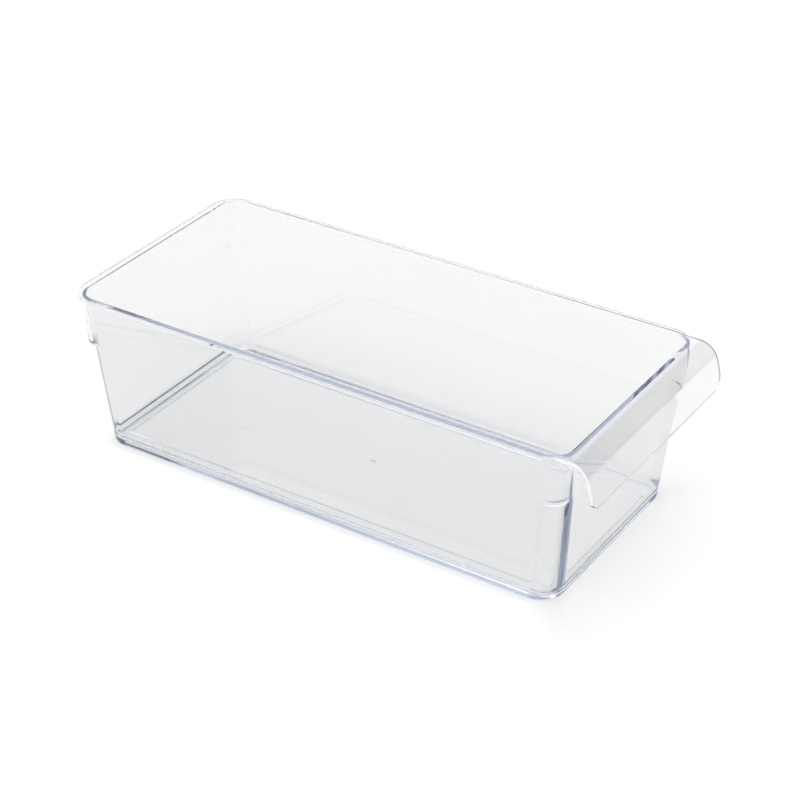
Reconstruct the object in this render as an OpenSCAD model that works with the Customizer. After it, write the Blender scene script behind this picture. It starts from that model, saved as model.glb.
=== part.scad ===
// Clear bin for organising a fridge drawer, with a full-width pull handle.
// The real bin is one moulding. Its regions are kept here as separate solids that
// meet face to face: floor, four flat walls, four stepped corners, rim rails, handle.
// X is the width, +Y the back, -Y the handle end, Z up, with the base on Z = 0.

/* [Walls] */
// Outside width over the walls at the top edge
top_w = 146.5; // [136:0.5:170]
// Outside length over the walls at the top edge
top_l = 309; // [260:1:340]
// Outside width over the walls at the base
base_w = 130; // [126:0.5:132]
// Outside length over the walls at the base
base_l = 293; // [285:1:296]
// Overall height
height = 96.5; // [85:0.5:120]
// Wall thickness
wall = 2.1; // [1.8:0.1:3]
// Outside radius of the corners below the nesting steps
corner_r = 14.5; // [12:0.5:18]

/* [Floor] */
// Floor thickness along the border
floor_t = 2.6; // [2.4:0.1:2.6]
// Depth of the recess in the underside
recess = 0.6; // [0.2:0.1:1.2]
// Width of the recess
recess_w = 105; // [90:1:110]
// Length of the recess
recess_l = 277; // [220:1:280]
// Corner radius of the recess
recess_r = 3; // [1:0.5:8]
// Width of the strip left standing down its middle
strip_w = 18; // [8:1:30]
// Distance from the middle of the floor to the centre of the strip's round end
strip_end = 109; // [60:1:125]
// How far the foot is set in from the walls
foot_inset = 0.5; // [0.2:0.1:1]
// Radius of the cove between floor and walls
cove_r = 6; // [3:0.5:8]

/* [Nesting steps] */
// Height of the underside of the step, which catches on the rim of the bin below
step_z = 66; // [55:0.5:80]
// Thickness of the step
step_t = 2; // [1.5:0.1:3]
// Outside radius of the upright corner above the step
post_r = 15; // [14:0.5:18]

/* [Rim] */
// Thickness of the rim
rim_t = 2.2; // [1.8:0.1:3]
// Overhang of the rim along the sides
side_lip = 1.1; // [0.5:0.1:3]
// Overhang of the rim along the back
back_lip = 3.1; // [1:0.1:6]

/* [Handle] */
// Width of the handle
handle_w = 142.6; // [110:0.2:144]
// Thickness of the handle
handle_t = 2.1; // [1.8:0.1:3]
// Flat run from the front wall to the bend
handle_flat = 1.8; // [1:0.1:10]
// Outside radius of the bend
handle_bend_r = 12; // [8:0.5:16]
// Angle of the hanging lip, outwards from upright
handle_flare = 12; // [0:1:25]
// Height of the lower edge of the lip
handle_low_z = 71.6; // [60:0.2:78]
// Radius of the lower corners of the lip
handle_corner_r = 7; // [2:0.5:10]

/* [Hidden] */
$fn = 96;
clear_plastic = [0.87, 0.89, 0.92, 0.55];
margin = 5;             // how far cutting shapes run past what they cut
cove_steps = 6;         // flats that stand for the cove's quarter circle
zone_depth = 14;        // depth of the zone behind a wall that belongs to it

side_grade = (top_w - base_w) / 2 / height;    // how the side walls lean out
end_grade = (top_l - base_l) / 2 / height;     // how the end walls lean out
side_lean = atan(side_grade);
end_lean = atan(end_grade);
rim_z = height - rim_t;

// The axis of an upright corner leans out with both walls
axis_lean = atan(norm([side_grade, end_grade]));
axis_turn = atan2(end_grade, side_grade);
axis_foot = [base_w / 2 - corner_r / cos(side_lean), base_l / 2 - corner_r / cos(end_lean), 0];
axis_x = [cos(axis_lean) * cos(axis_turn), cos(axis_lean) * sin(axis_turn), -sin(axis_lean)];
axis_y = [-sin(axis_turn), cos(axis_turn), 0];
side_out = [cos(side_lean), 0, -sin(side_lean)];
end_out = [0, cos(end_lean), -sin(end_lean)];
side_angle = atan2(side_out * axis_y, side_out * axis_x);
end_angle = atan2(end_out * axis_y, end_out * axis_x);
corner_sweep = end_angle - side_angle;

// Centre of the upright corner cylinder above the step
post_x = top_w / 2 - post_r;
post_y = top_l / 2 - post_r;

rim_r = post_r + side_lip;
bend_y = -(top_l / 2 + handle_flat);
bend_z = height - handle_bend_r;
bend_sweep = 90 - handle_flare;
lip_top_y = bend_y - handle_bend_r * sin(bend_sweep);
lip_top_z = bend_z + handle_bend_r * cos(bend_sweep);
lip_run = (lip_top_z - handle_low_z) / cos(handle_flare);
handle_front_y = lip_top_y - lip_run * sin(handle_flare);
back_y = top_l / 2 + back_lip;
to_middle = -(back_y + handle_front_y) / 2;    // brings the middle of the length to Y = 0

// Half length, at slope distance s, of the flat part of a wall between two corners
function flat_half(s, lean, other_half, other_grade, other_lean) =
    other_half + other_grade * (s * cos(lean) + corner_r * sin(lean)) - corner_r / cos(other_lean);

// Rectangle with round corners, centred
module round_rect(w, l, r) {
    square([w - 2 * r, l], center = true);
    square([w, l - 2 * r], center = true);
    for (x = [-1, 1], y = [-1, 1]) translate([x * (w / 2 - r), y * (l / 2 - r)]) circle(r);
}

// Everything between two heights
module between(z0, z1) {
    translate([-top_l, -top_l, z0]) cube([2 * top_l, 2 * top_l, z1 - z0]);
}

// Point i along the cove, in the frame of the wall: x outwards from its outer face, y up its slope
function cove_point(i, lean) =
    let (x = -wall - cove_r, a = (lean - 90) * (1 - i / cove_steps))
    [x + cove_r * cos(a), (floor_t + cove_r + x * sin(lean)) / cos(lean) + cove_r * sin(a)];

// Section of the wall and the cove at its foot, in the same frame; it runs past both ends
module wall_section(lean) {
    high = height / cos(lean) + margin;
    polygon(concat(
        [for (i = [0 : cove_steps]) cove_point(i, lean)],
        [[-wall, high], [0, high], [0, -margin], [cove_point(0, lean)[0], -margin]]
    ));
}

// One flat wall with its cove, on the +X side, from corner axis to corner axis
module flat_wall(half, lean, other_half, other_grade, other_lean) {
    low = -margin;
    high = height / cos(lean) + margin;
    half_low = flat_half(low, lean, other_half, other_grade, other_lean);
    half_high = flat_half(high, lean, other_half, other_grade, other_lean);
    intersection() {
        between(floor_t, rim_z);
        translate([half, 0, 0]) rotate([0, lean, 0]) intersection() {
            translate([0, top_l, 0]) rotate([90, 0, 0]) linear_extrude(2 * top_l) wall_section(lean);
            translate([-zone_depth, 0, 0]) rotate([90, 0, 90]) linear_extrude(zone_depth + margin)
                polygon([[-half_low, low], [half_low, low], [half_high, high], [-half_high, high]]);
        }
    }
}

module side_wall() {
    flat_wall(base_w / 2, side_lean, base_l / 2, end_grade, end_lean);
}

module end_wall() {
    rotate([0, 0, 90]) flat_wall(base_l / 2, end_lean, base_w / 2, side_grade, side_lean);
}

// Frame of the leaning corner axis, for the corner at +X +Y
module on_axis() {
    translate(axis_foot) rotate([0, axis_lean, axis_turn]) children();
}

// Sharp corner between the two wall faces at distance r from the axis
module corner_wedge(r, behind = 0) {
    middle = (side_angle + end_angle) / 2;
    tip = r / cos(corner_sweep / 2);
    on_axis() translate([0, 0, -2 * margin]) linear_extrude(height + 4 * margin)
        polygon([
            -behind * [cos(middle), sin(middle)],
            r * [cos(side_angle), sin(side_angle)] + behind * [cos(side_angle - 90), sin(side_angle - 90)],
            tip * [cos(middle), sin(middle)],
            r * [cos(end_angle), sin(end_angle)] + behind * [cos(end_angle + 90), sin(end_angle + 90)]
        ]);
}

module upright(r) {
    translate([post_x, post_y, 0]) cylinder(r = r, h = height + margin);
}

// Round corner up to the top of the step, with its cove
module lower_corner() {
    intersection() {
        between(floor_t, step_z + step_t);
        on_axis() rotate([0, 0, side_angle]) rotate_extrude(angle = corner_sweep)
            translate([corner_r, corner_r * tan(side_lean)]) wall_section(side_lean);
    }
}

// Step and the upright corner above it, bounded by the leaning walls and an upright cylinder;
// below the step's top face it laps half way into the wall of the round corner
module upper_corner() {
    difference() {
        intersection() {
            between(step_z, rim_z);
            corner_wedge(corner_r);
            upright(post_r);
        }
        intersection() {
            between(step_z + step_t, height);
            corner_wedge(corner_r - wall, margin);
            upright(post_r - wall);
        }
        intersection() {
            between(0, step_z + step_t);
            on_axis() cylinder(r = corner_r - wall / 2, h = height);
        }
    }
}

// Outline of the rim seen from above
module rim_outer() {
    l = back_y + top_l / 2;
    translate([0, back_y - l / 2]) round_rect(top_w + 2 * side_lip, l, rim_r);
}

module rim_outline() {
    difference() {
        rim_outer();
        round_rect(top_w - 2 * wall, top_l - 2 * wall, post_r - wall);
    }
}

module rim_part(x0, x1, y0, y1) {
    translate([0, 0, rim_z]) linear_extrude(rim_t) intersection() {
        rim_outline();
        translate([x0, y0]) square([x1 - x0, y1 - y0]);
    }
}

// The corner at +X +Y; end is 1 for the back and -1 for the front
module corner(end) {
    mirror([0, (1 - end) / 2, 0]) {
        lower_corner();
        upper_corner();
    }
    far = top_l;
    rim_part(post_x, far, end > 0 ? post_y : -far, end > 0 ? far : -post_y);
}

module side_rail() {
    rim_part(post_x, top_l, -post_y, post_y);
}

// The strip, from the front border to its round end
module strip_outline() {
    translate([-strip_w / 2, -recess_l / 2 - margin]) square([strip_w, recess_l / 2 + margin + strip_end]);
    translate([0, strip_end]) circle(d = strip_w);
}

// Flat inside; the underside stands on a border and on the strip
module floor_shape() {
    difference() {
        linear_extrude(floor_t)
            round_rect(base_w - 2 * foot_inset, base_l - 2 * foot_inset, corner_r - foot_inset);
        translate([0, 0, -margin]) linear_extrude(margin + recess) difference() {
            round_rect(recess_w, recess_l, recess_r);
            strip_outline();
        }
    }
}

// Lower front corner of the handle to be taken off, at +X
module lip_corner_cut() {
    x = handle_w / 2 - handle_corner_r;
    z = handle_low_z + handle_corner_r;
    depth = handle_bend_r + margin;
    translate([x, handle_front_y - margin, 0]) difference() {
        translate([0, 0, handle_low_z - margin]) cube([handle_corner_r + margin, depth, z - handle_low_z + margin]);
        translate([0, -margin, z]) rotate([-90, 0, 0]) cylinder(r = handle_corner_r, h = depth + 2 * margin);
    }
}

// Side view of everything under a handle line of the given bend radius; x points to the back
module under_handle(r, extra = 0) {
    flat_run = -bend_y - post_y;
    circle(r);
    translate([0, -handle_bend_r - extra]) square([flat_run + extra, handle_bend_r + extra + r]);
    rotate(-handle_flare) translate([-r, -lip_run - margin - extra])
        square([r + handle_bend_r, lip_run + margin + extra]);
}

// Side view of the handle: flat run, bend and hanging lip
module handle_profile() {
    translate([bend_y, bend_z]) difference() {
        under_handle(handle_bend_r);
        under_handle(handle_bend_r - handle_t, margin);
    }
}

module handle_shape() {
    difference() {
        translate([-handle_w / 2, 0, 0]) rotate([90, 0, 90]) linear_extrude(handle_w) handle_profile();
        translate([0, 0, rim_z - margin]) linear_extrude(rim_t + 2 * margin) rim_outer();
        translate([-top_w, handle_front_y - margin, 0]) cube([2 * top_w, top_l / 4, handle_low_z]);
        lip_corner_cut();
        mirror([1, 0, 0]) lip_corner_cut();
    }
}

// Puts a piece in the finished frame
module place() {
    color(clear_plastic) translate([0, to_middle, 0]) children();
}

module floor_pan() { place() floor_shape(); }
module right_wall() { place() side_wall(); }
module left_wall() { place() mirror([1, 0, 0]) side_wall(); }
module back_wall() { place() end_wall(); }
module front_wall() {
    place() {
        mirror([0, 1, 0]) end_wall();
        rim_part(-post_x, post_x, -top_l, -post_y);
    }
}
module corner_back_right() { place() corner(1); }
module corner_back_left() { place() mirror([1, 0, 0]) corner(1); }
module corner_front_right() { place() corner(-1); }
module corner_front_left() { place() mirror([1, 0, 0]) corner(-1); }
module right_rim_rail() { place() side_rail(); }
module left_rim_rail() { place() mirror([1, 0, 0]) side_rail(); }
module back_rim_rail() { place() rim_part(-post_x, post_x, post_y, top_l); }
module pull_handle() { place() handle_shape(); }

floor_pan();
left_wall();
right_wall();
back_wall();
front_wall();
corner_front_left();
corner_front_right();
corner_back_left();
corner_back_right();
left_rim_rail();
right_rim_rail();
back_rim_rail();
pull_handle();
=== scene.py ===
import math
import bmesh
import bpy
from mathutils import Matrix, Vector


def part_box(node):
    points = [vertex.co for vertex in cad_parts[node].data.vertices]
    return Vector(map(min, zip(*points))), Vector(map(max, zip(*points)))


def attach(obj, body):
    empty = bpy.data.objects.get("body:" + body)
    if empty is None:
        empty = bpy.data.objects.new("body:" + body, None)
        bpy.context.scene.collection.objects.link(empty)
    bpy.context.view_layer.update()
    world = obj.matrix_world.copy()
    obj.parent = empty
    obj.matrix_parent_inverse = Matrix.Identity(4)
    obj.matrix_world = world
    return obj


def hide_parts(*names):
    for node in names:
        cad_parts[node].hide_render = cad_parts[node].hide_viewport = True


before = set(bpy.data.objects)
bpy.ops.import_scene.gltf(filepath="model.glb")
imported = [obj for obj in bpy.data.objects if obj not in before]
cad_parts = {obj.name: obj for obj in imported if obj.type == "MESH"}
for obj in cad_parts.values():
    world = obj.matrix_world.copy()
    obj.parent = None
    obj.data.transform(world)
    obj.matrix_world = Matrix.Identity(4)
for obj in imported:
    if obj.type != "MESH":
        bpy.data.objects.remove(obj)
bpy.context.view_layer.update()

scene = bpy.context.scene

# the walls, the rim and the handle end where the CAD solids end
floorLow, floorHigh = (Vector(p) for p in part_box("floor_pan"))
sideHigh = Vector(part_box("right_wall")[1])
backHigh = Vector(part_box("back_wall")[1])
railLow, railHigh = (Vector(p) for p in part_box("right_rim_rail"))
backRailHigh = Vector(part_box("back_rim_rail")[1])
handleLow, handleHigh = (Vector(p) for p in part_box("pull_handle"))

middleY = (floorLow.y + floorHigh.y) / 2
rimTop, rimUnder = railHigh.z, railLow.z

near = 4e-7  # points closer than this are one
level = 0.99  # a face that points up this much is level

tub = {
    "wall": 0.0021,
    "footInset": 0.0005,  # how far the CAD foot stands in from the walls
    "footHeight": 0.0032,  # the lowest band of the wall stands upright
    "footRadius": 0.0026,
    "cornerRadius": 0.0145,  # outside, at the floor
    "cornerGrowth": 0.0003,  # how much it grows up to the step
    "innerRadius": 0.0095,  # inside, at the floor
    "postRadius": 0.0124,  # outside, right under the rim
    "stepHeight": 0.0664,  # underside of the nesting step
    "stepRise": 0.0016,  # from there to the shelf inside
    "stepRadius": 0.0074,  # outside, where the post stands on the step
    "coveRadius": 0.0057,
    "rimCornerRadius": 0.0160,
    "rimEdge": 0.0002,
    "rimSlim": (0.0005, 0.0010),  # top edges further in than this stay sharp
    "frontNib": 0.0006,  # rim that stands out at the front before the handle starts
    "arcSteps": 20,  # a multiple of 5 puts a vertex where the handle leaves the corner
    "coveSteps": 8,
    "footSteps": 4,
    "rimSteps": 3,
    "crease": math.radians(50),  # edges sharper than this get the small radii
    "sharpFrom": math.radians(28),  # edges sharper than this are shaded sharp
    "evenWeight": 100,
}

floor = {
    "thickness": 0.0026,
    "recess": 0.0011,  # the underside stands on a border and on the strip
    "recessSlope": 0.0006,
    "panelHalfX": 0.0520,
    "panelHalfY": 0.1387,
    "panelCorner": 0.0030,
    "stripHalfX": 0.0090,
    "stripBack": 0.1175,  # from the middle of the floor
    "stripEnd": 0.0088,  # corner radius, just under half the strip's width
    "gatePlace": (-0.0021, 0.0101),
    "gateRadius": 0.0021,
    "gateSlope": 0.0011,
    "gateRise": 0.0004,
}

handle = {
    "bendStart": 0.0018,  # from the front wall's top to where the bend starts
    "bendRadius": 0.0120,
    "bendAngle": math.radians(72),
    "lipRadius": 0.064,  # the lip carries on in a much wider arc
    "lipLow": 0.0716,
    "cornerRadius": 0.0070,
    "rows": 26,
    "edge": 0.0008,
    "edgeSteps": 4,
    "mattHighlightRun": 0.0330,  # how far back from the lip the side edges are matt and carry the painted highlight
    "mattHighlightLip": 0.0232,  # the same, below the rim
    "mattHighlightSide": 0.5,  # matt facets with the painted highlight point sideways at least this much
    "mattHighlightBack": 0.25,  # and down and back at most this much
}


def wallAt(z):
    # outside half width and half length of the walls at a height
    baseX = floorHigh.x + tub["footInset"]
    baseY = floorHigh.y - middleY + tub["footInset"]
    gradeX = (sideHigh.x - baseX) / rimUnder
    gradeY = (backHigh.y - middleY - baseY) / rimUnder
    return baseX + gradeX * z, baseY + gradeY * z


stepZ = tub["stepHeight"]
shelfZ = stepZ + tub["stepRise"]
rimFront = middleY - wallAt(rimTop)[1] - tub["frontNib"]
bendY = middleY - wallAt(rimTop)[1] - handle["bendStart"]


def roundCorners(bm, verts, radius, steps):
    bmesh.ops.bevel(
        bm, geom=verts, offset=radius, offset_type="OFFSET", segments=steps, profile=0.5,
        affect="VERTICES", material=-1,
    )


def roundEdges(bm, edges, radius, steps):
    bmesh.ops.bevel(
        bm, geom=edges, offset=radius, offset_type="OFFSET", segments=steps, profile=0.5,
        affect="EDGES", clamp_overlap=True, material=-1,
    )


def addRing(bm, z, halfX, front, back, radius):
    # a loop of edges: a level rectangle with round corners
    edgesBefore, facesBefore = set(bm.edges), set(bm.faces)
    size = Matrix.Diagonal((halfX, (back - front) / 2, 1, 1))
    place = Matrix.Translation((0, (front + back) / 2, z)) @ size
    corners = bmesh.ops.create_grid(bm, x_segments=1, y_segments=1, size=1, matrix=place)["verts"]
    roundCorners(bm, corners, radius, tub["arcSteps"])
    area = [f for f in bm.faces if f not in facesBefore]
    bmesh.ops.delete(bm, geom=area, context="FACES_ONLY")
    return [e for e in bm.edges if e not in edgesBefore]


def wallRing(bm, z, inset, radius):
    halfX, halfY = wallAt(z)
    return addRing(bm, z, halfX - inset, middleY - halfY + inset, middleY + halfY - inset, radius)


def sharpenCorners(verts, halfX, halfY, softRadius, sharpRadius):
    # moves each vertex of the soft corners straight away from the corner's centre, out to the sharper ones
    centre = Vector((halfX - softRadius, halfY - softRadius))
    span = softRadius - sharpRadius
    for vert in verts:
        side = Vector((math.copysign(1, vert.co.x), math.copysign(1, vert.co.y - middleY)))
        away = Vector((abs(vert.co.x), abs(vert.co.y - middleY))) - centre
        if min(away) <= near:
            continue
        away.normalize()
        reach = softRadius / max(away)
        if min(away) * reach > span:
            twice = 2 * away.x * away.y
            reach = span * (away.x + away.y) + math.sqrt(span ** 2 * (twice - 1) + sharpRadius ** 2)
        vert.co.x = side.x * (centre.x + away.x * reach)
        vert.co.y = middleY + side.y * (centre.y + away.y * reach)


def addLedge(bm, ring, halfX, halfY, softRadius, sharpRadius):
    # flat ledge from a ring out to the same outline with sharper corners
    made = bmesh.ops.extrude_edge_only(bm, edges=ring)["geom"]
    verts = [g for g in made if isinstance(g, bmesh.types.BMVert)]
    outer = [g for g in made if isinstance(g, bmesh.types.BMEdge) and set(g.verts) <= set(verts)]
    sharpenCorners(verts, halfX, halfY, softRadius, sharpRadius)
    return outer


def bridge(bm, ringA, ringB):
    # of two rings in one plane the second is lifted meanwhile, or the faces would cross over
    verts = list({v for e in ringB for v in e.verts})
    onePlane = abs(ringA[0].verts[0].co.z - verts[0].co.z) < near
    lift = Vector((0, 0, rimTop if onePlane else 0))
    bmesh.ops.translate(bm, verts=verts, vec=lift)
    made = bmesh.ops.bridge_loops(bm, edges=ringA + ringB)["faces"]
    bmesh.ops.translate(bm, verts=verts, vec=-lift)
    return made


def addWalls(bm):
    wall, soft = tub["wall"], tub["cornerRadius"] + tub["cornerGrowth"]

    # outside, from the floor's underside up
    footX, footY = wallAt(tub["footHeight"])
    foot = addRing(bm, 0, footX, middleY - footY, middleY + footY, tub["cornerRadius"])
    band = wallRing(bm, tub["footHeight"], 0, tub["cornerRadius"])
    underStep = wallRing(bm, stepZ, 0, soft)
    overStep = addLedge(bm, underStep, *wallAt(stepZ), soft, tub["stepRadius"])
    neck = wallRing(bm, rimUnder, 0, tub["postRadius"])
    rim = (railHigh.x, rimFront, backRailHigh.y, tub["rimCornerRadius"])
    rimLow = addRing(bm, rimUnder, *rim)
    rimHigh = addRing(bm, rimTop, *rim)

    # inside, from the rim down
    mouth = wallRing(bm, rimTop, wall, tub["postRadius"] - wall)
    underShelf = wallRing(bm, shelfZ, wall, tub["innerRadius"])
    shelfX, shelfY = wallAt(shelfZ)
    overShelf = addLedge(
        bm, underShelf, shelfX - wall, shelfY - wall, tub["innerRadius"], tub["stepRadius"] - wall,
    )
    floorRing = wallRing(bm, floor["thickness"], wall, tub["innerRadius"])

    for pair in (
        (foot, band), (band, underStep), (overStep, neck), (neck, rimLow),
        (rimHigh, mouth), (mouth, overShelf), (underShelf, floorRing),
    ):
        bridge(bm, *pair)
    return bridge(bm, rimLow, rimHigh), foot, floorRing


def bendHandle(bm):
    # rolls the flat plate in front of the bend's start over the two arcs of the lip
    r, angle, wide = handle["bendRadius"], handle["bendAngle"], handle["lipRadius"]
    centre = Vector((bendY, rimTop - r))
    turn = Vector((-math.sin(angle), math.cos(angle)))
    wideCentre = centre + turn * (r - wide)
    for vert in bm.verts:
        run, depth = bendY - vert.co.y, rimTop - vert.co.z
        if run <= near:
            continue
        if run <= r * angle:
            pivot, radius, at = centre, r - depth, run / r
        else:
            pivot, radius, at = wideCentre, wide - depth, angle + (run - r * angle) / wide
        vert.co.y = pivot.x - radius * math.sin(at)
        vert.co.z = pivot.y + radius * math.cos(at)


def addHandle(bm, rimFaces):
    # draws the rim's front out to a flat plate, rounds the plate's corners and bends it
    r, angle, wide = handle["bendRadius"], handle["bendAngle"], handle["lipRadius"]
    wideCentreZ = rimTop - r + math.cos(angle) * (r - wide)
    lipRun = r * angle + wide * (math.acos((handle["lipLow"] - wideCentreZ) / wide) - angle)
    limit = handleHigh.x + tub["rimEdge"]
    front = [
        f for f in rimFaces
        if f.calc_center_median().y < middleY and max(abs(v.co.x) for v in f.verts) < limit
    ]
    for end in (bendY, bendY - lipRun):
        made = bmesh.ops.extrude_face_region(bm, geom=front)["geom"]
        bmesh.ops.delete(bm, geom=front, context="FACES")
        front = [g for g in made if isinstance(g, bmesh.types.BMFace)]
        tip = {v for f in front for v in f.verts}
        for vert in tip:
            vert.co.y = end
    side = max(abs(v.co.x) for v in tip)
    corner = handle["cornerRadius"]
    for vert in tip:
        out = abs(vert.co.x) - (side - corner)
        if out > 0:
            vert.co.y += corner - math.sqrt(max(corner ** 2 - out ** 2, 0))
    lip = [e for e in bm.edges if len(tip.intersection(e.verts)) == 1]
    bmesh.ops.subdivide_edges(bm, edges=lip, cuts=handle["rows"] - 1, use_grid_fill=True)
    bendHandle(bm)


def addRecess(bm, foot):
    # the underside: a shallow recess round the strip, which comes in from the front border to a round end
    grid = bmesh.ops.create_grid(bm, x_segments=3, y_segments=2, size=1)["verts"]
    rows = (middleY - floor["panelHalfY"], middleY + floor["stripBack"], middleY + floor["panelHalfY"])
    for vert in grid:
        halfX = floor["panelHalfX"] if abs(vert.co.x) > 0.5 else floor["stripHalfX"]
        vert.co.x = math.copysign(halfX, vert.co.x)
        vert.co.y = rows[round(vert.co.y) + 1]
    cells = [f for f in bm.faces if set(f.verts) <= set(grid)]
    between = [f for f in cells if all(abs(v.co.x) < floor["panelHalfX"] - near for v in f.verts)]
    slot = min(between, key=lambda f: f.calc_center_median().y)
    cells.remove(slot)
    bmesh.ops.delete(bm, geom=[slot], context="FACES")
    area = bmesh.ops.dissolve_faces(bm, faces=cells, use_verts=True)["region"][0]
    corners = [v for v in area.verts if abs(v.co.x) > floor["panelHalfX"] - near]
    inner = [v for v in area.verts if v not in corners and v.co.y > rows[0] + near]
    roundCorners(bm, corners, floor["panelCorner"], tub["arcSteps"])
    roundCorners(bm, inner, floor["stripEnd"], tub["arcSteps"])

    # the foot's underside gets this outline as a hole, and a new face closes it further up
    roof = next(f for f in bm.faces if all(abs(v.co.z) < near for v in f.verts))
    outline = list(roof.edges)
    bmesh.ops.delete(bm, geom=[roof], context="FACES_ONLY")
    bmesh.ops.triangle_fill(bm, use_beauty=True, use_dissolve=False, edges=foot + outline)
    roof = bmesh.ops.contextual_create(bm, geom=outline)["faces"]
    bmesh.ops.inset_region(bm, faces=roof, thickness=floor["recessSlope"], use_even_offset=True)
    bmesh.ops.translate(bm, verts=list(roof[0].verts), vec=(0, 0, floor["recess"]))


def roundFloor(bm, z, radius, steps):
    # rounds the edge all round the floor at a height, but not the recess
    around = []
    for edge in bm.edges:
        at = edge.verts[0].co
        outside = abs(at.x) > floor["panelHalfX"] + near or abs(at.y - middleY) > floor["panelHalfY"] + near
        atHeight = all(abs(v.co.z - z) < near for v in edge.verts)
        if outside and atHeight and edge.calc_face_angle(0) > tub["sharpFrom"]:
            around.append(edge)
    roundEdges(bm, around, radius, steps)


def floorTop(bm):
    # the level faces on top of the floor
    return [f for f in bm.faces if f.normal.z > level and f.calc_center_median().z < tub["footHeight"]]


def addGate(bm):
    # a small round boss near the middle of the floor, where the plastic ran in
    top = max(floorTop(bm), key=lambda f: f.calc_area())
    middle = bmesh.ops.poke(bm, faces=[top], center_mode="BOUNDS")["verts"]
    middle[0].co.xy = floor["gatePlace"]
    roundCorners(bm, middle, floor["gateRadius"], 1)
    gate = max(floorTop(bm), key=lambda f: len(f.verts))
    bmesh.ops.inset_region(bm, faces=[gate], thickness=floor["gateSlope"], use_even_offset=True)
    bmesh.ops.translate(bm, verts=list(gate.verts), vec=(0, 0, floor["gateRise"]))


def roundRim(bm):
    # small radii on the rim and wider ones on the handle; the steps and the mouth stay sharp
    def inStep(vert):
        return stepZ - near < vert.co.z < shelfZ + near

    def atMouth(vert):
        slimX, slimY = tub["rimSlim"]
        inside = abs(vert.co.x) < railHigh.x - slimX and rimFront + slimY < vert.co.y < backRailHigh.y - slimY
        return inside and abs(vert.co.z - rimTop) < near

    crisp = [
        e for e in bm.edges
        if e.calc_face_angle(0) > tub["crease"] and e.verts[0].co.z > stepZ - near
        and not all(inStep(v) for v in e.verts) and not all(atMouth(v) for v in e.verts)
    ]
    lipFront = rimFront - handle["edge"]
    onHandle = [e for e in crisp if all(v.co.y < lipFront for v in e.verts)]
    onRim = [e for e in crisp if e not in onHandle]
    roundEdges(bm, onHandle, handle["edge"], handle["edgeSteps"])
    roundEdges(bm, [e for e in onRim if e.is_valid], tub["rimEdge"], tub["rimSteps"])


def printCounts(what, bm):
    print(what, len(bm.faces), "faces,", sum(not e.is_manifold for e in bm.edges), "open edges")


def makeBin():
    bm = bmesh.new()
    rimFaces, foot, floorRing = addWalls(bm)
    printCounts("walls and rim:", bm)
    addHandle(bm, rimFaces)
    printCounts("handle drawn out and bent:", bm)
    bmesh.ops.contextual_create(bm, geom=floorRing)
    addRecess(bm, foot)
    bmesh.ops.remove_doubles(bm, verts=bm.verts, dist=near)
    bmesh.ops.recalc_face_normals(bm, faces=bm.faces)
    printCounts("floor closed:", bm)
    roundFloor(bm, floor["thickness"], tub["coveRadius"], tub["coveSteps"])
    roundFloor(bm, 0, tub["footRadius"], tub["footSteps"])
    addGate(bm)
    roundRim(bm)
    bmesh.ops.remove_doubles(bm, verts=bm.verts, dist=near)
    printCounts("edges rounded:", bm)
    print("volume in ml:", round(bm.calc_volume() * 1e6, 1))

    mesh = bpy.data.meshes.new("moulded_bin")
    bm.to_mesh(mesh)
    bm.free()
    for polygon in mesh.polygons:
        polygon.use_smooth = True
    mesh.set_sharp_from_angle(angle=tub["sharpFrom"])
    piece = bpy.data.objects.new("moulded_bin", mesh)
    scene.collection.objects.link(piece)
    even = piece.modifiers.new("even shading", "WEIGHTED_NORMAL")
    even.keep_sharp = True
    even.weight = tub["evenWeight"]
    return piece


def whitenHandle(piece):
    # the matt facets along the handle's side edges take the second material, whose near-white colour is a
    # painted highlight
    for polygon in piece.data.polygons:
        out, at = polygon.normal, polygon.center
        onEdge = -handle["edge"] < abs(at.x) - handleHigh.x + tub["rimEdge"] < tub["rimEdge"] * 2
        onPlate = at.z > rimUnder and at.y < handleLow.y + handle["mattHighlightRun"]
        onLip = at.z > handle["lipLow"] - handle["edge"] and at.y < handleLow.y + handle["mattHighlightLip"]
        turned = abs(out.x) > handle["mattHighlightSide"] and out.y - out.z < handle["mattHighlightBack"]
        if onEdge and turned and (onPlate or onLip):
            polygon.material_index = 1


plastic = {
    "clear": (0.912, 0.912, 0.912, 1),
    "ior": 1.57,
    "tint": (0.54, 0.63, 0.79, 1),
    "tintDensity": 10,
    "ripple": 0.000015,
    "rippleNoise": (28, 1),  # scale and detail
    "hazeNoise": (90, 4),
    "haze": (0.35, 0.8),  # the noise from no roughness to the most
    "roughness": 0.024,
}

# a rough, matt finish whose near-white colour is a painted highlight along the handle's side edges; the grain
# between dark and light is random tone
mattHighlightEdge = {
    "dark": (0.90, 0.91, 0.93, 1),
    "light": (0.97, 0.975, 0.98, 1),
    "grainNoise": (160, 3),
    "roughness": (0.3, 0.5),
    "clear": 0.1,
}


def newMaterial(name):
    material = bpy.data.materials.new(name)
    material.use_nodes = True
    tree = material.node_tree
    return material, tree, tree.nodes["Principled BSDF"]


def addNoise(tree, scale, detail):
    place = tree.nodes.new("ShaderNodeTexCoord")
    noise = tree.nodes.new("ShaderNodeTexNoise")
    noise.inputs["Scale"].default_value = scale
    noise.inputs["Detail"].default_value = detail
    tree.links.new(place.outputs["Object"], noise.inputs["Vector"])
    return noise.outputs["Fac"]


def addRoughness(tree, shader, noise, fromRange, toRange):
    spread = tree.nodes.new("ShaderNodeMapRange")
    spread.inputs["From Min"].default_value, spread.inputs["From Max"].default_value = fromRange
    spread.inputs["To Min"].default_value, spread.inputs["To Max"].default_value = toRange
    tree.links.new(noise, spread.inputs["Value"])
    tree.links.new(spread.outputs["Result"], shader.inputs["Roughness"])


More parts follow.
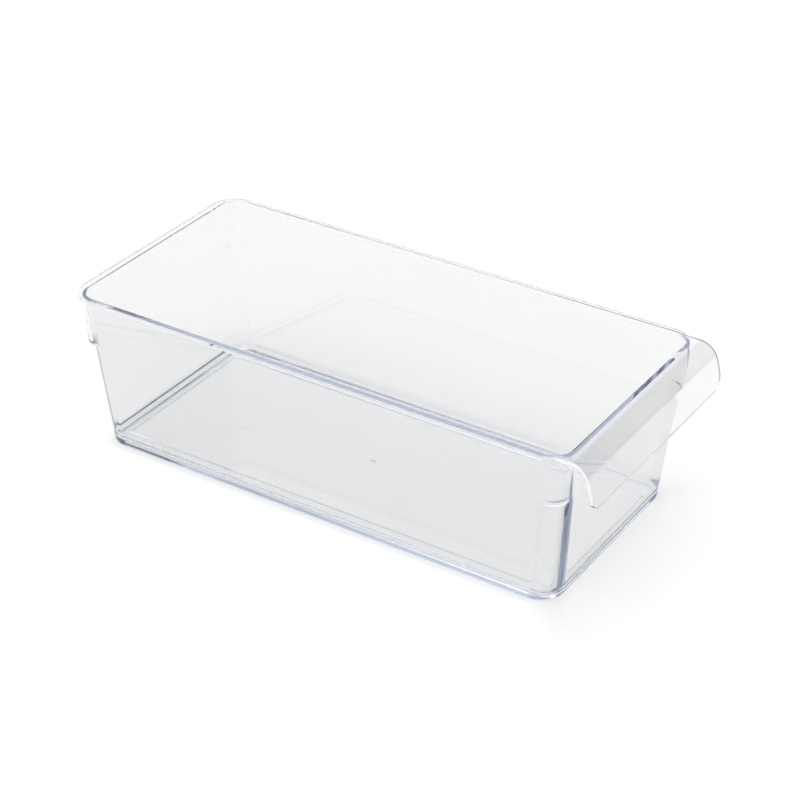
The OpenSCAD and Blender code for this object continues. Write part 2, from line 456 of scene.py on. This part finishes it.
def makePlastic():
    material, tree, shader = newMaterial("clear_plastic")
    shader.inputs["Base Color"].default_value = plastic["clear"]
    shader.inputs["Transmission Weight"].default_value = 1
    shader.inputs["IOR"].default_value = plastic["ior"]
    tint = tree.nodes.new("ShaderNodeVolumeAbsorption")
    tint.inputs["Color"].default_value = plastic["tint"]
    tint.inputs["Density"].default_value = plastic["tintDensity"]
    tree.links.new(tint.outputs["Volume"], tree.nodes["Material Output"].inputs["Volume"])

    # the faces of a moulding are never quite flat, nor equally glossy
    bump = tree.nodes.new("ShaderNodeBump")
    bump.inputs["Strength"].default_value = 1
    bump.inputs["Distance"].default_value = plastic["ripple"]
    tree.links.new(addNoise(tree, *plastic["rippleNoise"]), bump.inputs["Height"])
    tree.links.new(bump.outputs["Normal"], shader.inputs["Normal"])
    haze = addNoise(tree, *plastic["hazeNoise"])
    addRoughness(tree, shader, haze, plastic["haze"], (0, plastic["roughness"]))
    return material


# the near-white base colour paints the highlight of the handle's side edges
def makeMattHighlightEdge():
    material, tree, shader = newMaterial("matt_highlight_edge")
    shader.inputs["IOR"].default_value = plastic["ior"]
    shader.inputs["Transmission Weight"].default_value = mattHighlightEdge["clear"]
    grain = addNoise(tree, *mattHighlightEdge["grainNoise"])
    shade = tree.nodes.new("ShaderNodeValToRGB")
    shade.color_ramp.elements[0].color = mattHighlightEdge["dark"]
    shade.color_ramp.elements[1].color = mattHighlightEdge["light"]
    tree.links.new(grain, shade.inputs["Fac"])
    tree.links.new(shade.outputs["Color"], shader.inputs["Base Color"])
    addRoughness(tree, shader, grain, (0, 1), mattHighlightEdge["roughness"])
    return material


stage = {
    "tableHalf": 4.0,
    "tableDrop": 0.0002,  # keeps the table clear of the foot
    "tableColor": (0.94, 0.94, 0.94, 1),
    "tableRoughness": 0.9,
    # brightness of the sky by the sine of its height, with a softbox on top
    "sky": (
        (0.0, 0.85), (0.30, 0.85), (0.45, 1.1), (0.62, 1.1),
        (0.72, 0.8), (0.86, 0.8), (0.90, 2.5), (1.0, 2.5),
    ),
    "darkSide": (0.742, -0.35, 0.45),  # where the handle's bend mirrors it, the studio is darker
    "darkRim": (0.74, 0.82),  # cosine of the angle to it, from bright to dark
    "darkLevel": 0.2,
    "mapSize": 512,
}


def makeTable():
    material, _, shader = newMaterial("white_table")
    shader.inputs["Base Color"].default_value = stage["tableColor"]
    shader.inputs["Roughness"].default_value = stage["tableRoughness"]
    shader.inputs["Specular IOR Level"].default_value = 0
    bm = bmesh.new()
    bmesh.ops.create_grid(bm, x_segments=1, y_segments=1, size=stage["tableHalf"])
    mesh = bpy.data.meshes.new("table")
    bm.to_mesh(mesh)
    bm.free()
    mesh.materials.append(material)
    table = bpy.data.objects.new("table", mesh)
    table.location.z = -stage["tableDrop"]
    scene.collection.objects.link(table)


def makeSky():
    world = bpy.data.worlds.new("studio")
    scene.world = world
    world.use_nodes = True
    nodes, links = world.node_tree.nodes, world.node_tree.links
    place = nodes.new("ShaderNodeTexCoord")
    split = nodes.new("ShaderNodeSeparateXYZ")
    links.new(place.outputs["Generated"], split.inputs["Vector"])
    sky = nodes.new("ShaderNodeValToRGB")
    stops = sky.color_ramp.elements
    while len(stops) < len(stage["sky"]):
        stops.new(0.5)
    for stop, (height, level) in zip(stops, stage["sky"]):
        stop.position = height
        stop.color = (level, level, level, 1)
    links.new(split.outputs["Z"], sky.inputs["Fac"])
    links.new(sky.outputs["Color"], nodes["Background"].inputs["Color"])

    towards = nodes.new("ShaderNodeVectorMath")
    towards.operation = "DOT_PRODUCT"
    towards.inputs[1].default_value = Vector(stage["darkSide"]).normalized()
    links.new(place.outputs["Generated"], towards.inputs[0])
    dim = nodes.new("ShaderNodeMapRange")
    dim.inputs["From Min"].default_value, dim.inputs["From Max"].default_value = stage["darkRim"]
    dim.inputs["To Min"].default_value = 1
    dim.inputs["To Max"].default_value = stage["darkLevel"]
    links.new(towards.outputs["Value"], dim.inputs["Value"])
    links.new(dim.outputs["Result"], nodes["Background"].inputs["Strength"])
    world.cycles.sampling_method = "MANUAL"
    world.cycles.sample_map_resolution = stage["mapSize"]


camera = {
    "sensor": 36,
    "lens": 96.52,
    "clip": (0.01, 50),
    "place": (-0.84654, -0.54980, 0.66545),
    "azimuth": math.radians(-57.28),
    "elevation": math.radians(31.58),
    "roll": math.radians(0.2),
}


def makeCamera():
    data = bpy.data.cameras.new("camera")
    data.sensor_width = camera["sensor"]
    data.lens = camera["lens"]
    data.clip_start, data.clip_end = camera["clip"]
    view = bpy.data.objects.new("camera", data)
    turn = (
        Matrix.Rotation(camera["azimuth"], 4, "Z")
        @ Matrix.Rotation(math.pi / 2 - camera["elevation"], 4, "X")
        @ Matrix.Rotation(camera["roll"], 4, "Z")
    )
    view.matrix_world = Matrix.Translation(camera["place"]) @ turn
    scene.collection.objects.link(view)
    scene.camera = view


paths = {
    "bounces": 128,  # light goes through many clear faces
    "diffuse": 6,
    "clamp": 10,
    "blur": 0.1,  # or the table under the bin comes out too dark
}


def setPaths():
    scene.view_settings.view_transform = "Standard"
    scene.cycles.max_bounces = paths["bounces"]
    scene.cycles.transmission_bounces = paths["bounces"]
    scene.cycles.glossy_bounces = paths["bounces"]
    scene.cycles.transparent_max_bounces = paths["bounces"]
    scene.cycles.diffuse_bounces = paths["diffuse"]
    scene.cycles.sample_clamp_indirect = paths["clamp"]
    scene.cycles.blur_glossy = paths["blur"]


setPaths()
makeCamera()
makeTable()
makeSky()
print("camera and stage ready")

moulding = makeBin()
moulding.data.materials.append(makePlastic())
moulding.data.materials.append(makeMattHighlightEdge())
whitenHandle(moulding)
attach(moulding, "root")
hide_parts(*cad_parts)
print("bin ready")
